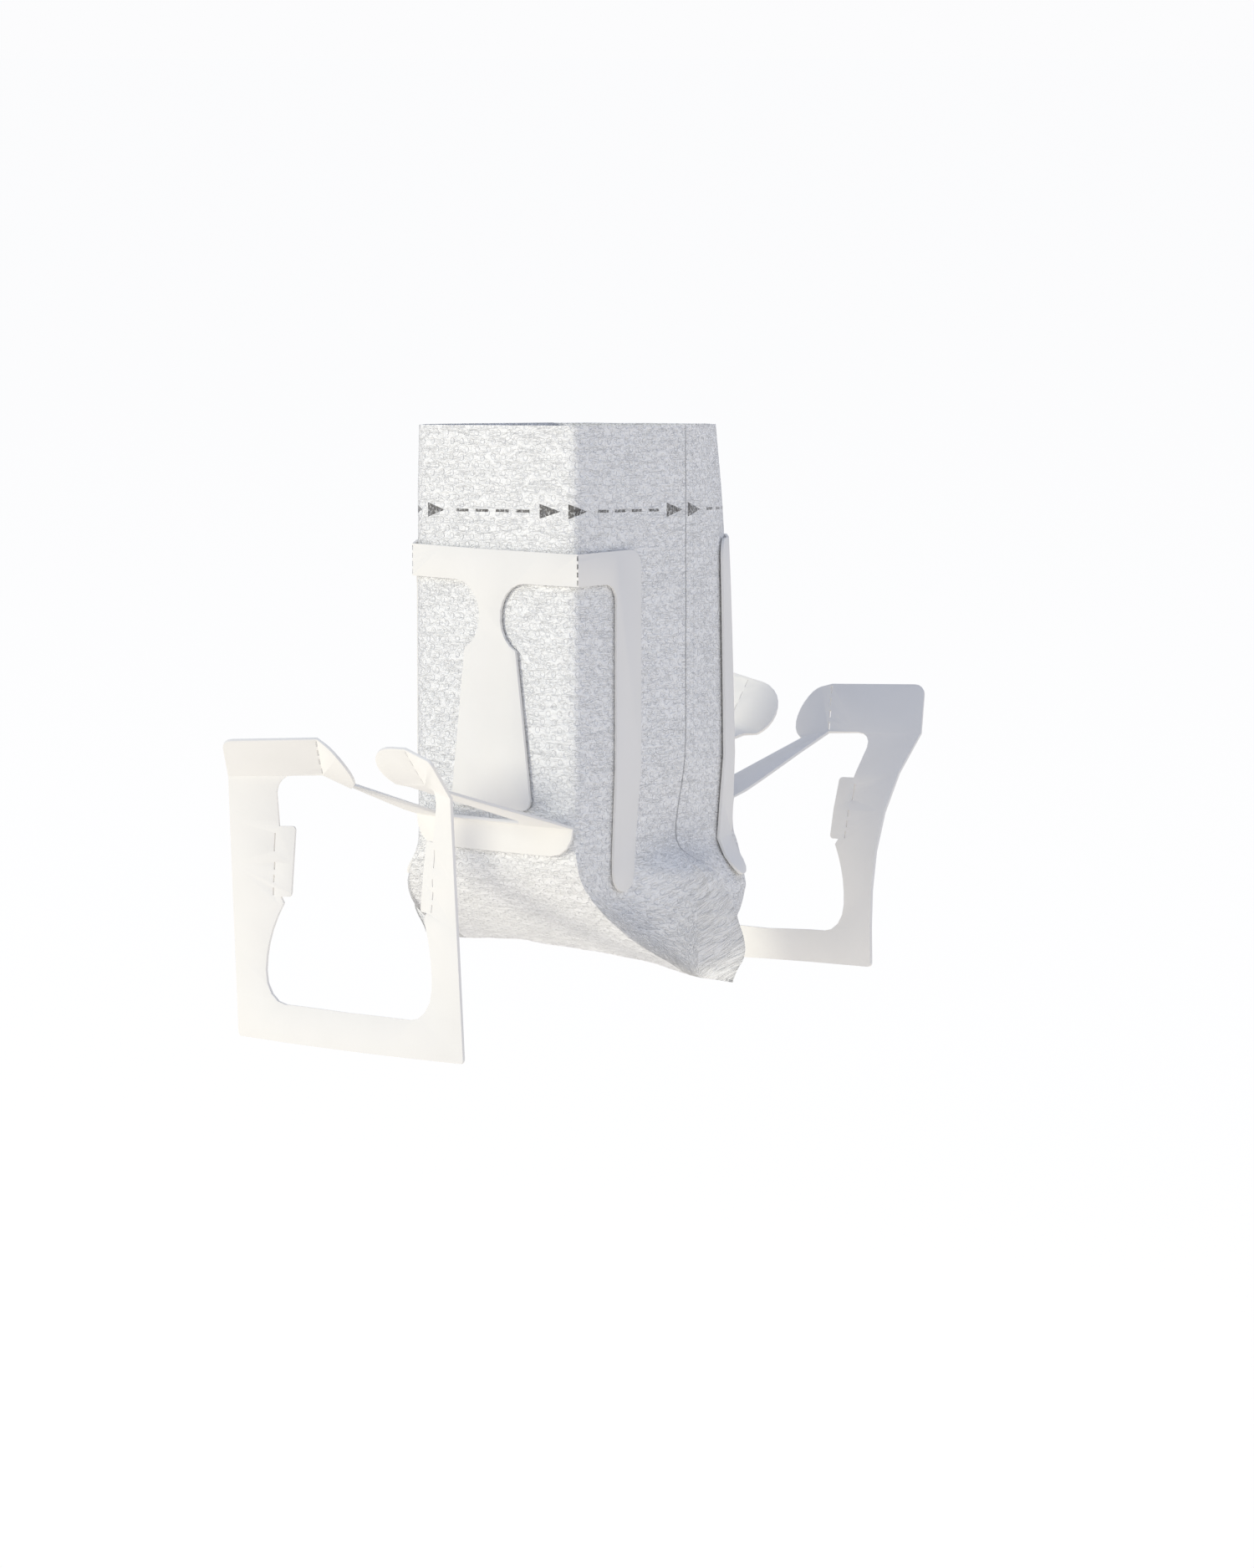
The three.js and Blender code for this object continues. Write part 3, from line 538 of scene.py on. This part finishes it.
crumple(bag)
thin_at_foot(bag)
bag.data.materials.append(nonwoven)
bag.data.materials.append(nonwoven_inside)
apply_modifier(bag, "SOLIDIFY", thickness=WALL, offset=-1, use_even_offset=False, material_offset=1,
               vertex_group="wall", thickness_vertex_group=0.2)
bag.data.set_sharp_from_angle(angle=math.radians(35))
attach(bag, "root")
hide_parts("filter_bag")
print("bag triangles", sum(len(face.vertices) - 2 for face in bag.data.polygons))

# %% [markdown]
# ## Cards
# Each frame and each ear is a flat blank, die cut and bent. Its outline is right in the model, so the piece is
# a merged copy of it. What a die leaves is added: a slightly rounded edge, and the short cuts in a row that
# make the card fold along a line. Each cut is a thin block taken away where the fold lies.

# %% Folds with cuts
CARD_THICKNESS = 0.4 * MM
CUT_WIDTH = 0.22 * MM
CUT_SHARE = 0.62
EDGE_ROUND = 0.07 * MM
FOLD_CUTS = {
    "front_frame": [((-6.7, -25.4, 32.3), (-6.7, -25.4, 27.7), 4, (-0.38, -0.92, 0)),
                    ((28.4, -25.4, 32.3), (28.4, -25.4, 27.7), 4, (0.64, -0.77, 0))],
    "rear_frame": [((6.7, 23.1, 32.3), (6.7, 23.5, 27.7), 4, (0.38, 0.92, 0)),
                   ((-28.5, 23.1, 32.3), (-28.5, 23.5, 27.7), 4, (-0.64, 0.77, 0))],
    "front_ear": [((2.9, -50.7, 1.2), (6.8, -55.2, 6.7), 4), ((22.9, -49.0, 0.8), (24.9, -54.5, 6.3), 4),
                  ((-3.8, -53.8, -6.6), (-4.1, -53.7, -10.8), 1), ((-4.1, -53.7, -11.2), (-4.5, -53.6, -16.6), 3),
                  ((28.7, -52.3, -6.9), (28.5, -52.5, -11.0), 1), ((28.5, -52.5, -11.4), (28.2, -52.6, -16.8), 3)],
    "rear_ear": [((-0.3, 50.6, 1.4), (-3.1, 54.0, 8.2), 4), ((-20.3, 48.8, 1.4), (-20.3, 53.3, 8.2), 4),
                 ((5.8, 50.5, -5.2), (5.9, 49.0, -9.0), 1), ((5.9, 49.0, -9.4), (5.9, 48.0, -14.1), 3),
                 ((-26.6, 49.6, -5.4), (-26.7, 48.5, -9.2), 1), ((-26.7, 48.5, -9.6), (-26.8, 47.7, -14.6), 3)],
}


def merged_copy(node):
    bm = bmesh.new()
    bm.from_mesh(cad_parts[node].data)
    bmesh.ops.remove_doubles(bm, verts=bm.verts, dist=0.001 * MM)
    bmesh.ops.dissolve_limit(bm, angle_limit=math.radians(0.4), verts=bm.verts, edges=bm.edges)
    return bm


def fold_cutter(node, folds):
    """Thin blocks that stand square on the card, in a row along each fold."""
    bm = bmesh.new()
    for start, end, count, *way_out in folds:
        start, end = Vector(start) * MM, Vector(end) * MM
        along = (end - start) / count
        for step in range(count):
            middle = start + along * (step + 0.5)
            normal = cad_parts[node].closest_point_on_mesh(middle)[2]
            if way_out:
                normal = Vector(way_out[0]).normalized()
            across = along.cross(normal).normalized()
            turn = Matrix((along.normalized(), across, normal)).transposed().to_4x4()
            size = Vector((along.length * CUT_SHARE, CUT_WIDTH, 5 * CARD_THICKNESS))
            made = bmesh.ops.create_cube(bm, size=1)
            bmesh.ops.scale(bm, verts=made["verts"], vec=size)
            bmesh.ops.transform(bm, verts=made["verts"], matrix=Matrix.Translation(middle) @ turn)
    bmesh.ops.recalc_face_normals(bm, faces=bm.faces)
    return new_object("cutter", bm)


def make_card_piece(name, node):
    piece = new_object(name, merged_copy(node))
    cutter = fold_cutter(node, FOLD_CUTS[node])
    apply_modifier(piece, "BOOLEAN", operation="DIFFERENCE", solver="EXACT", object=cutter)
    bpy.data.objects.remove(cutter)
    apply_modifier(piece, "BEVEL", width=EDGE_ROUND, segments=2, profile=0.5, limit_method="ANGLE",
                   angle_limit=math.radians(55), material=-1)
    for face in piece.data.polygons:
        face.use_smooth = True
    piece.data.set_sharp_from_angle(angle=math.radians(32))
    piece.data.materials.clear()
    piece.data.materials.append(card)
    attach(piece, "root")
    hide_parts(node)
    print(name, "triangles", sum(len(face.vertices) - 2 for face in piece.data.polygons))
    return piece


for node in FOLD_CUTS:
    make_card_piece(node + "_card", node)

# %% Finish
for name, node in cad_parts.items():
    node.data.materials.clear()
    node.data.materials.append(card)

bpy.context.scene.view_settings.view_transform = "Standard"
